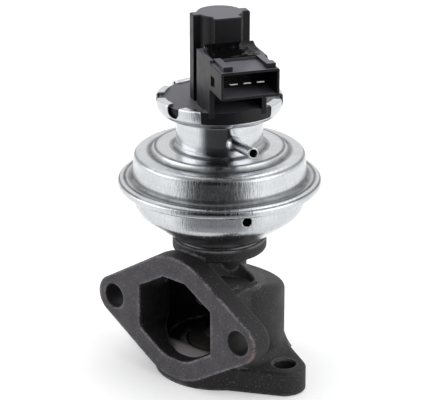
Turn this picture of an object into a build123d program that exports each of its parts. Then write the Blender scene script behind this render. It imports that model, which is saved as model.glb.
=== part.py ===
from build123d import *
import math
import os

# Vacuum-operated exhaust gas recirculation valve with a lift sensor, in millimetres.
# +Z runs up the valve axis from the foot's joint face, and the intake flange faces -Y.

# ---------------------------------------------------------------- driving dimensions
# Cast housing
FOOT_BOLT_R = 4.2        # close clearance holes for M8 bolts
FLANGE_BOLT_R = 4.75     # free clearance holes for M8 bolts
BOLT_CHAMFER = 0.4
FOOT_PITCH = 66.2        # between the two foot bolts, along X
FOOT_T = 10.0
FOOT_MID_R = 24.4
FLANGE_PITCH = 64.0      # between the two intake flange bolts, along X
FLANGE_T = 9.2
FLANGE_FACE = 25.6       # valve axis to flange face
FLANGE_MID_R = 24.8
FOOT_LUG_R = 8.2         # rounded ends of the foot
FLANGE_LUG_R = 8.1
FLANGE_Z = 27.0          # height of the intake flange's bolt line
PORT_W = 37.0
PORT_TOP = 43.0
PORT_LOW = 10.2
PORT_FLAT_W = 11.2       # flat top and bottom of the eight-sided port
PORT_SIDE_TOP = 35.5     # ends of the port's flat sides
PORT_SIDE_LOW = 18.1
PORT_CORNER = 1.2
PORT_LOW_CORNER = 12.0
DUCT_DROP = 3.5          # fall of the duct's roof behind the flange
CAST_WALL = 5.2
DUCT_SIDE_TOP = 41.4     # outer top edge of the duct's side walls
BODY_R = 25.2
BODY_WALL = 4.8
TOP_Z = 39.6             # height of the body's sloping top at the valve axis
TOP_SLOPE = 16.7         # degrees, falling away from the flange
TOP_FILLET = 3.5
TOP_MERGE_Y = 15.0       # where the duct's ridge has sunk into the top
SCOOP_R = 9.0            # hollow either side of the duct's ridge
SCOOP_X = 15.7
SCOOP_FLOOR = 40.0
SCOOP_END = 6.0          # scoop's round end, in front of the valve axis
ROOT_R = 3.5             # rounded root of the neck and of the body on the foot
NECK_R = 10.4
NECK_LEAN = 1.2          # tilted root kept inside the upright neck
COLLAR_R = 18.0
COLLAR_T = 5.0
COLLAR_TOP = 54.1

# Valve seat, poppet and stem
SEAT_R = 14.5
SEAT_BORE_R = 10.8
SEAT_CONE = 1.6
SEAT_RECESS = 4.0        # exhaust port depth below the seat
SEAT_LIP = 0.5           # casting left above the seat
LIP_CLEAR = 0.5
VALVE_GAP = 0.05         # poppet to seat when shut
POPPET_EDGE = 1.8
STEM_R = 3.0
STEM_TOP_R = 2.5
STEM_CLEAR = 0.05        # running clearance on radius
GUIDE_R = 5.5
GUIDE_LOW = 29.5
BOSS_R = 8.5
SHIELD_T = 0.8
SHIELD_DROP = 2.5
SHIELD_CLEAR = 0.5

# Vacuum can
SHEET = 1.0
RUBBER = 0.8
GASKET_T = 0.5
GASKET_R = 17.0
BOWL_FLAT_R = 16.3
BOWL_SLOPE = 31.0        # degrees, the dish of the lower shell
BOWL_INSET = 6.0         # bowl's side inside the rim
BOWL_CORNER = 8.0
BOWL_HOLE_R = 7.6
SCREW_CLEAR = 0.1        # shell and gasket holes round the screws
VENT_R = 1.8
VENT_Z = 71.2
RIM_R = 38.4
RIM_TOP = 78.3
RIM_ROUND = 1.9
CRIMP_W = 3.4            # width of the rim's turned-in lip
CRIMP_CLEAR = 0.1        # clamped edges inside the crimp
RIM_FILLET = 1.2         # can's side into its rim
CAN_INSET = 5.5          # can's side inside the rim
CAN_H = 10.1
CAN_DRAFT = 0.7
CAN_FILLET = 2.6
STEP_SLOPE = 1.8         # run of the step's slope
STEP_R = 24.4            # raised middle of the can's top
STEP_H = 1.9
NECK_TUBE_R = 16.3
CUP_R = 23.6
CUP_FLOOR = 102.8
CUP_CURVE = 5.0
NECK_FOOT_FILLET = 1.8
NECK_TOP_FILLET = 1.2
FOLD_FILLET = 0.8
CUP_LIP = 105.7          # low edge of the cup, in the gap for the connector
PLATE_TOP = 109.2
TAB_PITCH = 38.6         # degrees
TAB_W = 20.0             # degrees
TAB_REACH = 3.0
TAB_COUNT = 8
TAB_FLARE = 0.4          # notch wider at the fold
NOTCH_R = 2.9
GAP_HALF = 34.7          # degrees, the gap in the cup either side of the connector
AIM = -30.0              # degrees from +X, the way the connector and nipple point

# Vacuum nipple
NIPPLE_Z = 95.9
NIPPLE_TILT = 10.0
NIPPLE_R = 2.0
NIPPLE_BORE_R = 1.5
NIPPLE_LENGTH = 22.6
NIPPLE_COLLAR_R = 2.9
NIPPLE_COLLAR_L = 1.0    # straight part of the collar
NIPPLE_ROOT = 1.8        # nipple's end inside the neck's wall
NIPPLE_EDGE = 0.15

# Diaphragm and spring
ROLL_W = 9.3             # bowl's side to the piston, for the rolling fold
PISTON_Z = 63.5
PISTON_H = 12.0
PISTON_CLEAR = 0.1
WASHER_R = 15.0
WASHER_T = 1.2
SPRING_WIRE = 1.2
SPRING_INSET = 2.9       # spring's mean radius inside the piston
SPRING_TURNS = 4.0
STEM_CHAMFER = 0.5
ROLL_CLEAR = 0.3         # fold to the shell's wall
NUT_AF = 8.0
NUT_H = 4.0
NUT_CHAMFER = 0.4
STEM_TIP = 2.0           # stem standing above its nut

# Lower shell fastening
SCREW_RING_R = 13.4
SCREW_COUNT = 3
SCREW_SHANK_R = 2.0
SCREW_HEAD_R = 2.6
SCREW_HEAD_H = 2.2
SCREW_SOCKET_R = 1.2
SEAL_R = 7.0
SEAL_H = 4.0
RETAINER_T = 0.8
RETAINER_FLANGE_R = 10.6

# Lift sensor
PLATE_CLEAR = 0.2        # plate to the cup's curved wall
PLATE_STEP = 1.0         # plate standing higher under the connector
FRONT_SETBACK = 0.3      # its front inside the cup's outline
FRONT_GAP = 0.6          # degrees, its sides to the cup's gap
SPIGOT_CLEAR = 0.1       # spigot to the neck's bore
SPIGOT_H = 4.6
RING_WIRE = 0.92
RING_GROOVE = 1.9
TOWER_TOP = 141.7
TOWER_R = 8.6
TOWER_WALL = 2.0
TOWER_FRONT = 10.4
TOWER_FRONT_W = 10.6
TOWER_CORNER = 0.6
TOWER_EDGE = 0.8
EAR_REACH = 10.85
EAR_T = 4.5
EAR_BACK = 2.1
PLUNGER_R = 2.5
PLUNGER_GAP = 0.05
PLUNGER_CLEAR = 0.05
PLUNGER_TOP = 131.0
BUSH_R = 4.5
CARRIER_Z = 118.0
CARRIER_H = 7.0
CARRIER_R = 5.6
RETURN_WIRE = 0.4
RETURN_R = 3.4
RETURN_TURNS = 6.0
TRACK_W = 7.6
TRACK_CLEAR = 0.1
TRACK_T = 0.8
TRACK_WALL = 1.5         # tower's wall in front of the track
TRACK_H = 24.0
TRACK_LOW = 112.0
BRUSH_W = 1.6
BRUSH_T = 0.3
BRUSH_GAP = 0.05
CAVITY_LOW = 107.0

# Connector
SOCKET_FRONT = 35.2      # valve axis to the connector's mouth
SOCKET_START = 6.2       # valve axis to the connector's back
SOCKET_W = 21.6
SOCKET_LOW = 119.1
SOCKET_TOP = 129.3
SOCKET_WALL = 0.9
SOCKET_DEPTH = 12.0
PIN_PITCH = 5.0
PIN_COUNT = 3
PIN_W = 2.8
PIN_T = 0.8
PIN_Z = 123.7
PIN_SETBACK = 3.7
POCKET_FRONT = 21.3
POCKET_SKIN = 0.8        # tower's front to the pocket
POCKET_W = 17.0
POCKET_LOW = 121.6
POCKET_RIM = 0.9
RIM_W = 1.2              # rim in front of the pocket
RESIN_W = 18.8           # resin standing over the pocket's rim
RESIN_RISE = 2.5         # against the tower
RESIN_T = 0.4            # at the front
RESIN_SAG = 0.85         # hollow of the resin's face
RAIL_Q = 8.0
RAIL_W = 2.6
RAIL_H = 1.3
RAIL_SETBACK = 1.4
RAIL_LUG = 0.4           # lug standing out from its rail
LUG_LENGTH = 3.4
LUG_RISE = 0.5
PEDESTAL_FRONT = 21.6
PEDESTAL_WALL = 1.8
PEDESTAL_WEB = 12.0
WINDOW_P = 25.2
WINDOW_Z = 123.2
WINDOW_L = 4.4
WINDOW_H = 4.0

# ---------------------------------------------------------------- derived places
FLANGE_BACK = FLANGE_FACE - FLANGE_T
CHAMBER_R = BODY_R - BODY_WALL
CHAMBER_FLOOR = PORT_LOW
SEAT_TOP = CHAMBER_FLOOR - SEAT_LIP
COLLAR_LOW = COLLAR_TOP - COLLAR_T
GUIDE_TOP = COLLAR_TOP - 1.0
CAN_R = RIM_R - CAN_INSET
CAN_TOP = RIM_TOP + CAN_H
PLATEAU = CAN_TOP + STEP_H
BOWL_R = RIM_R - BOWL_INSET
PISTON_R = BOWL_R - ROLL_W
SPRING_R = PISTON_R - SPRING_INSET
SPIGOT_R = NECK_TUBE_R - SHEET - SPIGOT_CLEAR
PLATE_BOTTOM = CUP_FLOOR + SHEET               # the sensor's plate seats on the cup's floor
BOWL_LOW = COLLAR_TOP + GASKET_T
BOWL_FLOOR = BOWL_LOW + SHEET
FLANGE_UNDER = RIM_TOP - SHEET                 # underside of the upper shell's flange
LOWER_FLANGE_TOP = FLANGE_UNDER - RUBBER
LOWER_FLANGE_LOW = LOWER_FLANGE_TOP - SHEET
CRIMP_LOW = LOWER_FLANGE_LOW - SHEET
STEM_SHOULDER = PISTON_Z - RUBBER - WASHER_T
NUT_LOW = PISTON_Z + SHEET
STEM_TOP = NUT_LOW + NUT_H + STEM_TIP
PLUNGER_LOW = STEM_TOP + PLUNGER_GAP
CAVITY_TOP = TOWER_TOP - TOWER_WALL
SOCKET_BACK = SOCKET_FRONT - SOCKET_DEPTH
POCKET_BACK = TOWER_FRONT + POCKET_SKIN
POCKET_TOP = SOCKET_TOP + POCKET_RIM
TRACK_FACE = TOWER_FRONT - TRACK_WALL          # the track's front, against the tower's wall
AIMED = Rot(0, 0, AIM)

NODES = {}


def keep(name, shape):
    """Store a finished sub-part under its node's name."""
    NODES[name] = shape


def disc(radius, low, high):
    """Upright cylinder from one height to another."""
    return Pos(0, 0, low) * extrude(Circle(radius), amount=high - low)


def ring(outer, inner, low, high):
    return disc(outer, low, high) - disc(inner, low, high)


def turned(points):
    """Solid of revolution about the valve axis from (radius, height) points."""
    outline = make_face(Plane.XZ * Polyline(*points, close=True))
    return revolve(outline, Axis.Z)


def block(x0, x1, y0, y1, z0, z1):
    return Pos(x0, y0, z0) * Box(x1 - x0, y1 - y0, z1 - z0, align=(Align.MIN,) * 3)


def lug_outline(mid_r, end_r, pitch):
    """Two-bolt flange outline: a round middle drawn out to a rounded lug at each end."""
    half = pitch / 2
    tilt = math.asin((mid_r - end_r) / half)
    side, rise = math.sin(tilt), math.cos(tilt)
    corners = [
        (half + end_r * side, end_r * rise), (mid_r * side, mid_r * rise),
        (-mid_r * side, mid_r * rise), (-half - end_r * side, end_r * rise),
        (-half - end_r * side, -end_r * rise), (-mid_r * side, -mid_r * rise),
        (mid_r * side, -mid_r * rise), (half + end_r * side, -end_r * rise),
    ]
    outline = make_face(Polyline(*corners, close=True)) + Circle(mid_r)
    return outline + Locations((half, 0), (-half, 0)) * Circle(end_r)


def eight_sided(half_w, flat, top, side_top, side_low, low):
    """Upright eight-sided outline, flat at its top, bottom and sides."""
    corners = [(flat, top), (half_w, side_top), (half_w, side_low), (flat, low),
               (-flat, low), (-half_w, side_low), (-half_w, side_top), (-flat, top)]
    return make_face(Polyline(*corners, close=True))


def bolt_hole(radius, depth):
    """Clearance hole with a small chamfer at both mouths, from z = 0 upwards."""
    wide = radius + BOLT_CHAMFER
    return turned([
        (0, -BOLT_CHAMFER), (wide + BOLT_CHAMFER, -BOLT_CHAMFER), (radius, BOLT_CHAMFER),
        (radius, depth - BOLT_CHAMFER), (wide + BOLT_CHAMFER, depth + BOLT_CHAMFER),
        (0, depth + BOLT_CHAMFER),
    ])


# ---------------------------------------------------------------- cast housing
def across(y):
    """Upright plane across the duct, seen from the flange."""
    return Plane((0, y, 0), x_dir=(1, 0, 0), z_dir=(0, -1, 0))


def slope_plane(top_z):
    """Plane of the housing's sloping top, top_z high at the axis."""
    tilt = math.radians(TOP_SLOPE)
    return Plane((0, 0, top_z), x_dir=(1, 0, 0), z_dir=(0, math.sin(tilt), math.cos(tilt)))


def sloped(radius, top_z):
    """Upright cylinder under the housing's sloping top, which is top_z high at the axis."""
    return split(disc(radius, 0, top_z + radius), bisect_by=slope_plane(top_z), keep=Keep.BOTTOM)


def rooted(radius, low, high):
    """Upright cylinder that flares into a rounded root at its lower end."""
    corner = ROOT_R * (1 - math.sqrt(0.5))
    outline = make_face(Plane.XZ * Curve([
        Line((0, low), (radius + ROOT_R, low)),
        ThreePointArc((radius + ROOT_R, low), (radius + corner, low + corner), (radius, low + ROOT_R)),
        Line((radius, low + ROOT_R), (radius, high)), Line((radius, high), (0, high)),
        Line((0, high), (0, low)),
    ]))
    return revolve(outline, Axis.Z)


def duct_outside():
    """Eight-sided duct whose top edge runs into the body and sinks into its sloping top."""
    half_w = PORT_W / 2 + CAST_WALL
    flat = (PORT_FLAT_W + CAST_WALL) / 2
    side_low, low = PORT_SIDE_LOW - CAST_WALL / 2, PORT_LOW - CAST_WALL
    full = eight_sided(half_w, flat, PORT_TOP + CAST_WALL, DUCT_SIDE_TOP, side_low, low)
    sunk_z = TOP_Z - TOP_MERGE_Y * math.tan(math.radians(TOP_SLOPE))
    sunk_w = math.sqrt(BODY_R ** 2 - TOP_MERGE_Y ** 2) - BODY_WALL / 2
    sunk = eight_sided(sunk_w, flat, sunk_z, sunk_z - BODY_WALL / 2, side_low, low)
    merge_from = -SCOOP_END + SCOOP_R / 4
    straight = extrude(across(-FLANGE_BACK - FLANGE_T / 2) * full,
                       amount=-(FLANGE_BACK + FLANGE_T / 2 + merge_from))
    return straight + loft([across(merge_from) * full, across(TOP_MERGE_Y) * sunk])


def scoop(side):
    """Rounded hollow in the casting between the duct's ridge and its side wall."""
    x, z = side * SCOOP_X, SCOOP_FLOOR + SCOOP_R
    start = Plane((x, -SCOOP_END, z), x_dir=(1, 0, 0), z_dir=(0, -1, 0))
    return start * extrude(Circle(SCOOP_R), amount=FLANGE_BACK - SCOOP_END) + Pos(x, -SCOOP_END, z) * Sphere(SCOOP_R)


def housing_outside():
    foot = extrude(lug_outline(FOOT_MID_R, FOOT_LUG_R, FOOT_PITCH), amount=FOOT_T)
    foot = fillet(foot.edges().group_by(Axis.Z)[-1], 1.5)
    foot = fillet(foot.edges().group_by(Axis.Z)[0], 0.8)
    skirt = rooted(BODY_R, FOOT_T, FOOT_T + 2 * ROOT_R)
    skirt &= extrude(lug_outline(FOOT_MID_R, FOOT_LUG_R, FOOT_PITCH), amount=2 * FOOT_T)

    face = Plane((0, -FLANGE_FACE, FLANGE_Z), x_dir=(1, 0, 0), z_dir=(0, -1, 0))
    flange = extrude(face * lug_outline(FLANGE_MID_R, FLANGE_LUG_R, FLANGE_PITCH), amount=-FLANGE_T)
    flange = fillet(flange.edges().group_by(Axis.Y)[-1], 1.2)

    body = sloped(BODY_R, TOP_Z)
    body = fillet(body.edges().filter_by(GeomType.ELLIPSE), TOP_FILLET)
    body = body + (duct_outside() - scoop(-1) - scoop(1))

    collar = disc(COLLAR_R, COLLAR_LOW, COLLAR_TOP)
    collar = fillet(collar.edges().group_by(Axis.Z)[0], 1.2)
    neck = disc(NECK_R, TOP_Z - CAST_WALL, COLLAR_LOW)
    root = slope_plane(TOP_Z) * rooted(NECK_R - NECK_LEAN, 0, ROOT_R + NECK_LEAN / 4)
    return foot + skirt + body + neck + root + collar + flange


def port_section(y, fall):
    """Section of the gas duct, its corners rounded and its roof lowered by fall."""
    outline = eight_sided(PORT_W / 2, PORT_FLAT_W / 2, PORT_TOP - fall, PORT_SIDE_TOP - fall,
                          PORT_SIDE_LOW, PORT_LOW)
    outline = fillet(outline.vertices().group_by(Axis.Y)[0], PORT_LOW_CORNER)
    upper = [v for v in outline.vertices() if v.Y > PORT_SIDE_LOW - 0.1]
    return across(y) * fillet(upper, PORT_CORNER)


def housing():
    solid = housing_outside()
    behind = -FLANGE_BACK + DUCT_DROP
    throat = loft([port_section(-FLANGE_FACE, 0), port_section(behind, DUCT_DROP)])
    throat += extrude(port_section(behind, DUCT_DROP), amount=behind)
    chamber = sloped(CHAMBER_R, TOP_Z - CAST_WALL) - disc(BODY_R, -1, CHAMBER_FLOOR)
    solid -= throat + chamber
    solid += disc(BOSS_R, GUIDE_LOW, TOP_Z)
    solid -= disc(GUIDE_R, GUIDE_LOW - 1, COLLAR_TOP + 1)
    solid -= disc(SEAT_R, -1, SEAT_TOP)
    solid -= disc(SEAT_BORE_R + SEAT_CONE + LIP_CLEAR, SEAT_TOP - 1, CHAMBER_FLOOR + 1)
    for x in (-FOOT_PITCH / 2, FOOT_PITCH / 2):
        solid -= Pos(x, 0, 0) * bolt_hole(FOOT_BOLT_R, FOOT_T)
    for x in (-FLANGE_PITCH / 2, FLANGE_PITCH / 2):
        solid -= Pos(x, -FLANGE_FACE, FLANGE_Z) * Rot(-90, 0, 0) * bolt_hole(FLANGE_BOLT_R, FLANGE_T)
    for place in screw_places():
        solid -= place * disc(SCREW_SHANK_R, COLLAR_LOW - 1, COLLAR_TOP + 1)
    return solid


def screw_places():
    return [Rot(0, 0, AIM + 60 + k * 360 / SCREW_COUNT) * Pos(SCREW_RING_R, 0, 0)
            for k in range(SCREW_COUNT)]


# ---------------------------------------------------------------- valve seat, poppet, stem
def valve_seat():
    return turned([
        (SEAT_BORE_R, SEAT_RECESS), (SEAT_R, SEAT_RECESS), (SEAT_R, SEAT_TOP),
        (SEAT_BORE_R + SEAT_CONE, SEAT_TOP), (SEAT_BORE_R, SEAT_TOP - SEAT_CONE),
    ])


def poppet():
    edge_r = SEAT_BORE_R + SEAT_CONE - 0.3
    edge_z = SEAT_TOP - 0.3 + VALVE_GAP
    toe_r = SEAT_BORE_R - 0.4
    toe_z = SEAT_TOP - SEAT_CONE - 0.4 + VALVE_GAP
    crown = edge_z + POPPET_EDGE
    return turned([
        (0, toe_z), (toe_r, toe_z), (edge_r, edge_z), (edge_r, crown),
        (STEM_R + 3.0, crown + 1.2), (STEM_R + 0.8, crown + 3.4), (STEM_R, crown + 3.4),
        (STEM_R, crown - 0.6), (0, crown - 0.6),
    ])


def valve_stem():
    foot = SEAT_TOP - 0.3 + VALVE_GAP + POPPET_EDGE - 0.6
    return turned([
        (0, foot), (STEM_R, foot), (STEM_R, STEM_SHOULDER), (STEM_TOP_R, STEM_SHOULDER),
        (STEM_TOP_R, STEM_TOP - STEM_CHAMFER), (STEM_TOP_R - STEM_CHAMFER, STEM_TOP), (0, STEM_TOP),
    ])


def stem_shield():
    """Pressed cup on the guide's boss that keeps hot gas off the bush."""
    low = GUIDE_LOW - SHIELD_DROP
    return turned([
        (STEM_R + SHIELD_CLEAR, low), (BOSS_R + SHIELD_T, low), (BOSS_R + SHIELD_T, GUIDE_LOW + 1.5),
        (BOSS_R, GUIDE_LOW + 1.5), (BOSS_R, low + SHIELD_T), (STEM_R + SHIELD_CLEAR, low + SHIELD_T),
    ])


# ---------------------------------------------------------------- lower shell and its seal
def bowl_outline(outset):
    """Outside line of the dished shell moved out by outset, from its floor to its flange."""
    slope = math.radians(BOWL_SLOPE)
    wall_r = BOWL_R + outset
    corner = BOWL_CORNER + outset
    floor_z = BOWL_LOW - outset
    knee = BOWL_FLAT_R + outset * math.tan(slope / 2)
    centre_r = BOWL_R - BOWL_CORNER
    centre_z = (BOWL_LOW + (centre_r - BOWL_FLAT_R) * math.tan(slope)
                + BOWL_CORNER / math.cos(slope))
    foot = (centre_r + corner * math.sin(slope), centre_z - corner * math.cos(slope))
    half = (slope - math.pi / 2) / 2
    middle = (centre_r + corner * math.cos(half), centre_z + corner * math.sin(half))
    return (knee, floor_z), foot, middle, (wall_r, centre_z)


def lower_shell():
    outer_knee, outer_foot, outer_mid, outer_top = bowl_outline(0)
    inner_knee, inner_foot, inner_mid, inner_top = bowl_outline(-SHEET)
    flange_r = RIM_R - SHEET - CRIMP_CLEAR
    edges = [
        Line((BOWL_HOLE_R, BOWL_LOW), outer_knee), Line(outer_knee, outer_foot),
        ThreePointArc(outer_foot, outer_mid, outer_top),
        Line(outer_top, (BOWL_R, LOWER_FLANGE_LOW)),
        Line((BOWL_R, LOWER_FLANGE_LOW), (flange_r, LOWER_FLANGE_LOW)),
        Line((flange_r, LOWER_FLANGE_LOW), (flange_r, LOWER_FLANGE_TOP)),
        Line((flange_r, LOWER_FLANGE_TOP), (BOWL_R - SHEET, LOWER_FLANGE_TOP)),
        Line((BOWL_R - SHEET, LOWER_FLANGE_TOP), inner_top),
        ThreePointArc(inner_top, inner_mid, inner_foot), Line(inner_foot, inner_knee),
        Line(inner_knee, (BOWL_HOLE_R, BOWL_FLOOR)),
        Line((BOWL_HOLE_R, BOWL_FLOOR), (BOWL_HOLE_R, BOWL_LOW)),
    ]
    shell = revolve(make_face(Plane.XZ * Curve(edges)), Axis.Z)
    for place in screw_places():
        shell -= place * disc(SCREW_SHANK_R + SCREW_CLEAR, BOWL_LOW - 1, BOWL_FLOOR + 1)
    vent = Pos(BOWL_R, 0, VENT_Z) * Rot(0, 90, 0) * Cylinder(VENT_R, 6)
    return shell - AIMED * vent


def base_gasket():
    solid = ring(GASKET_R, BOWL_HOLE_R, COLLAR_TOP, BOWL_LOW)
    for place in screw_places():
        solid -= place * disc(SCREW_SHANK_R + SCREW_CLEAR, COLLAR_TOP - 1, BOWL_LOW + 1)
    return solid


def shell_screws():
    screws = []
    for place in screw_places():
        head = disc(SCREW_HEAD_R, BOWL_FLOOR, BOWL_FLOOR + SCREW_HEAD_H)
        head = fillet(head.edges().group_by(Axis.Z)[-1], 0.8)
        shank = disc(SCREW_SHANK_R, COLLAR_LOW + 0.4, BOWL_FLOOR)
        socket = Pos(0, 0, BOWL_FLOOR + 0.8) * extrude(
            RegularPolygon(SCREW_SOCKET_R, 6), amount=SCREW_HEAD_H)
        screws.append(place * (head + shank - socket))
    return Compound(screws)


def stem_seal():
    low, high = COLLAR_TOP, COLLAR_TOP + SEAL_H
    bore = STEM_R + STEM_CLEAR
    return turned([
        (bore, low + 1.0), (bore + 1.2, low + 0.4), (bore + 1.2, low), (SEAL_R, low),
        (SEAL_R, high), (bore + 1.2, high), (bore + 1.2, high - 0.4), (bore, high - 1.0),
    ])


def seal_retainer():
    top = COLLAR_TOP + SEAL_H
    out = SEAL_R + 0.1
    return turned([
        (out, BOWL_FLOOR), (RETAINER_FLANGE_R, BOWL_FLOOR),
        (RETAINER_FLANGE_R, BOWL_FLOOR + RETAINER_T), (out + RETAINER_T, BOWL_FLOOR + RETAINER_T),
        (out + RETAINER_T, top + RETAINER_T), (STEM_R + 1.0, top + RETAINER_T),
        (STEM_R + 1.0, top), (out, top),
    ])


# ---------------------------------------------------------------- upper shell
def can_outline():
    """Half section of the drawn can with its crimped rim, neck and open cup."""
    t = SHEET
    rim_mid = (RIM_TOP + CRIMP_LOW) / 2
    crimp_r = RIM_R - CRIMP_W
    top_r = CAN_R - CAN_DRAFT
    cup_mid = CUP_CURVE / math.sqrt(2)
    arc_r = CUP_R - CUP_CURVE
    arc_z = CUP_FLOOR + CUP_CURVE
    inner_curve = CUP_CURVE - t
    inner_mid = inner_curve / math.sqrt(2)
    fold_z = PLATE_TOP
    outside = [
        Line((crimp_r, CRIMP_LOW), (RIM_R - RIM_ROUND, CRIMP_LOW)),
        ThreePointArc((RIM_R - RIM_ROUND, CRIMP_LOW), (RIM_R, rim_mid), (RIM_R - RIM_ROUND, RIM_TOP)),
        Line((RIM_R - RIM_ROUND, RIM_TOP), (CAN_R, RIM_TOP)),
        Line((CAN_R, RIM_TOP), (top_r, CAN_TOP)),
        Line((top_r, CAN_TOP), (STEP_R + STEP_SLOPE, CAN_TOP)),
        Line((STEP_R + STEP_SLOPE, CAN_TOP), (STEP_R, PLATEAU)),
        Line((STEP_R, PLATEAU), (NECK_TUBE_R, PLATEAU)),
        Line((NECK_TUBE_R, PLATEAU), (NECK_TUBE_R, CUP_FLOOR)),
        Line((NECK_TUBE_R, CUP_FLOOR), (arc_r, CUP_FLOOR)),
        ThreePointArc((arc_r, CUP_FLOOR), (arc_r + cup_mid, arc_z - cup_mid), (CUP_R, arc_z)),
        Line((CUP_R, arc_z), (CUP_R, fold_z + t)),
        Line((CUP_R, fold_z + t), (CUP_R - TAB_REACH, fold_z + t)),
        Line((CUP_R - TAB_REACH, fold_z + t), (CUP_R - TAB_REACH, fold_z)),
        Line((CUP_R - TAB_REACH, fold_z), (CUP_R - t, fold_z)),
        Line((CUP_R - t, fold_z), (CUP_R - t, arc_z)),
    ]
    inside = [
        ThreePointArc((CUP_R - t, arc_z), (arc_r + inner_mid, arc_z - inner_mid),
                      (arc_r, CUP_FLOOR + t)),
        Line((arc_r, CUP_FLOOR + t), (NECK_TUBE_R - t, CUP_FLOOR + t)),
        Line((NECK_TUBE_R - t, CUP_FLOOR + t), (NECK_TUBE_R - t, PLATEAU - t)),
        Line((NECK_TUBE_R - t, PLATEAU - t), (STEP_R - t / 2, PLATEAU - t)),
        Line((STEP_R - t / 2, PLATEAU - t), (STEP_R + STEP_SLOPE - t / 2, CAN_TOP - t)),
        Line((STEP_R + STEP_SLOPE - t / 2, CAN_TOP - t), (top_r - t, CAN_TOP - t)),
        Line((top_r - t, CAN_TOP - t), (CAN_R - t, FLANGE_UNDER)),
        Line((CAN_R - t, FLANGE_UNDER), (RIM_R - t, FLANGE_UNDER)),
        Line((RIM_R - t, FLANGE_UNDER), (RIM_R - t, LOWER_FLANGE_LOW)),
        Line((RIM_R - t, LOWER_FLANGE_LOW), (crimp_r, LOWER_FLANGE_LOW)),
        Line((crimp_r, LOWER_FLANGE_LOW), (crimp_r, CRIMP_LOW)),
    ]
    return Curve(outside + inside)


def ring_edges(solid, radius, height):
    """Circular edges of the solid at one radius and height."""
    return [e for e in solid.edges().filter_by(GeomType.CIRCLE)
            if abs(e.radius - radius) < 0.02 and abs(e.center().Z - height) < 0.02]


def upper_shell():
    can = revolve(make_face(Plane.XZ * can_outline()), Axis.Z)
    can = fillet(ring_edges(can, CAN_R - CAN_DRAFT, CAN_TOP), CAN_FILLET)
    can = fillet(ring_edges(can, CAN_R, RIM_TOP), RIM_FILLET)
    can = fillet(ring_edges(can, NECK_TUBE_R, PLATEAU), NECK_FOOT_FILLET)
    can = fillet(ring_edges(can, NECK_TUBE_R, CUP_FLOOR), NECK_TOP_FILLET)
    can = fillet(ring_edges(can, CUP_R, PLATE_TOP + SHEET), FOLD_FILLET)
    can -= AIMED * cup_cuts()
    return can - nipple_hole()


def cup_cuts():
    """Round-bottomed notches between the folded tabs, and the wide gap under the connector."""
    cuts = []
    near = CUP_R - TAB_REACH - 1
    far = CUP_R + SHEET
    for k in range(TAB_COUNT - 1):
        middle = 180 + (k - TAB_COUNT / 2 + 1) * TAB_PITCH
        notch = Pos(near, 0, CUP_LIP + NOTCH_R) * Rot(0, 90, 0) * disc(NOTCH_R, 0, far - near)
        slot = block(near, far, -NOTCH_R, NOTCH_R, CUP_LIP + NOTCH_R, PLATE_TOP + SHEET + 1)
        cuts.append(Rot(0, 0, middle) * (notch + slot + tab_gap(near)))
    cuts.append(wedge(GAP_HALF, CUP_LIP, PLATE_TOP + SHEET + 1))
    return sum_up(cuts)


def sum_up(shapes):
    total = shapes[0]
    for shape in shapes[1:]:
        total += shape
    return total


def tab_gap(near):
    """Opening between two folded tabs, wider than the notch below it."""
    far = CUP_R - SHEET
    flare = math.tan(math.radians((TAB_PITCH - TAB_W) / 2))
    outline = Polyline((near, -near * flare), (far, -far * flare + TAB_FLARE),
                       (far, far * flare - TAB_FLARE), (near, near * flare), close=True)
    return Pos(0, 0, PLATE_TOP) * extrude(make_face(outline), amount=SHEET + 1)


def wedge(half, low, high):
    """Sector either side of the connector's direction, beyond the cup's wall."""
    reach = CUP_R * 2
    side = reach * math.tan(math.radians(half))
    outline = make_face(Polyline((0, 0), (reach, -side), (reach, side), close=True))
    return Pos(0, 0, low) * extrude(outline, amount=high - low)


# ---------------------------------------------------------------- vacuum nipple
def nipple_place():
    """Frame on the neck's wall, +Z out along the nipple."""
    return AIMED * Pos(NECK_TUBE_R, 0, NIPPLE_Z) * Rot(0, 90 - NIPPLE_TILT, 0)


def nipple_hole():
    return nipple_place() * disc(NIPPLE_R, -NIPPLE_ROOT, NIPPLE_ROOT)


def vacuum_nipple():
    tip = NIPPLE_LENGTH
    collar = NIPPLE_COLLAR_L
    outside = turned([
        (0, -NIPPLE_ROOT), (NIPPLE_R, -NIPPLE_ROOT), (NIPPLE_R, -collar),
        (NIPPLE_COLLAR_R, -collar), (NIPPLE_COLLAR_R, collar), (NIPPLE_R + 0.4, collar + 0.4),
        (NIPPLE_R, collar + 1.2), (NIPPLE_R, tip - NIPPLE_EDGE), (NIPPLE_R - NIPPLE_EDGE, tip), (0, tip),
    ])
    neck = disc(NECK_TUBE_R, PLATEAU, CUP_FLOOR)
    bore = disc(NIPPLE_BORE_R, -2 * NIPPLE_ROOT, tip + 1)
    return nipple_place() * (outside - bore) - (neck - nipple_hole())


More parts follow.
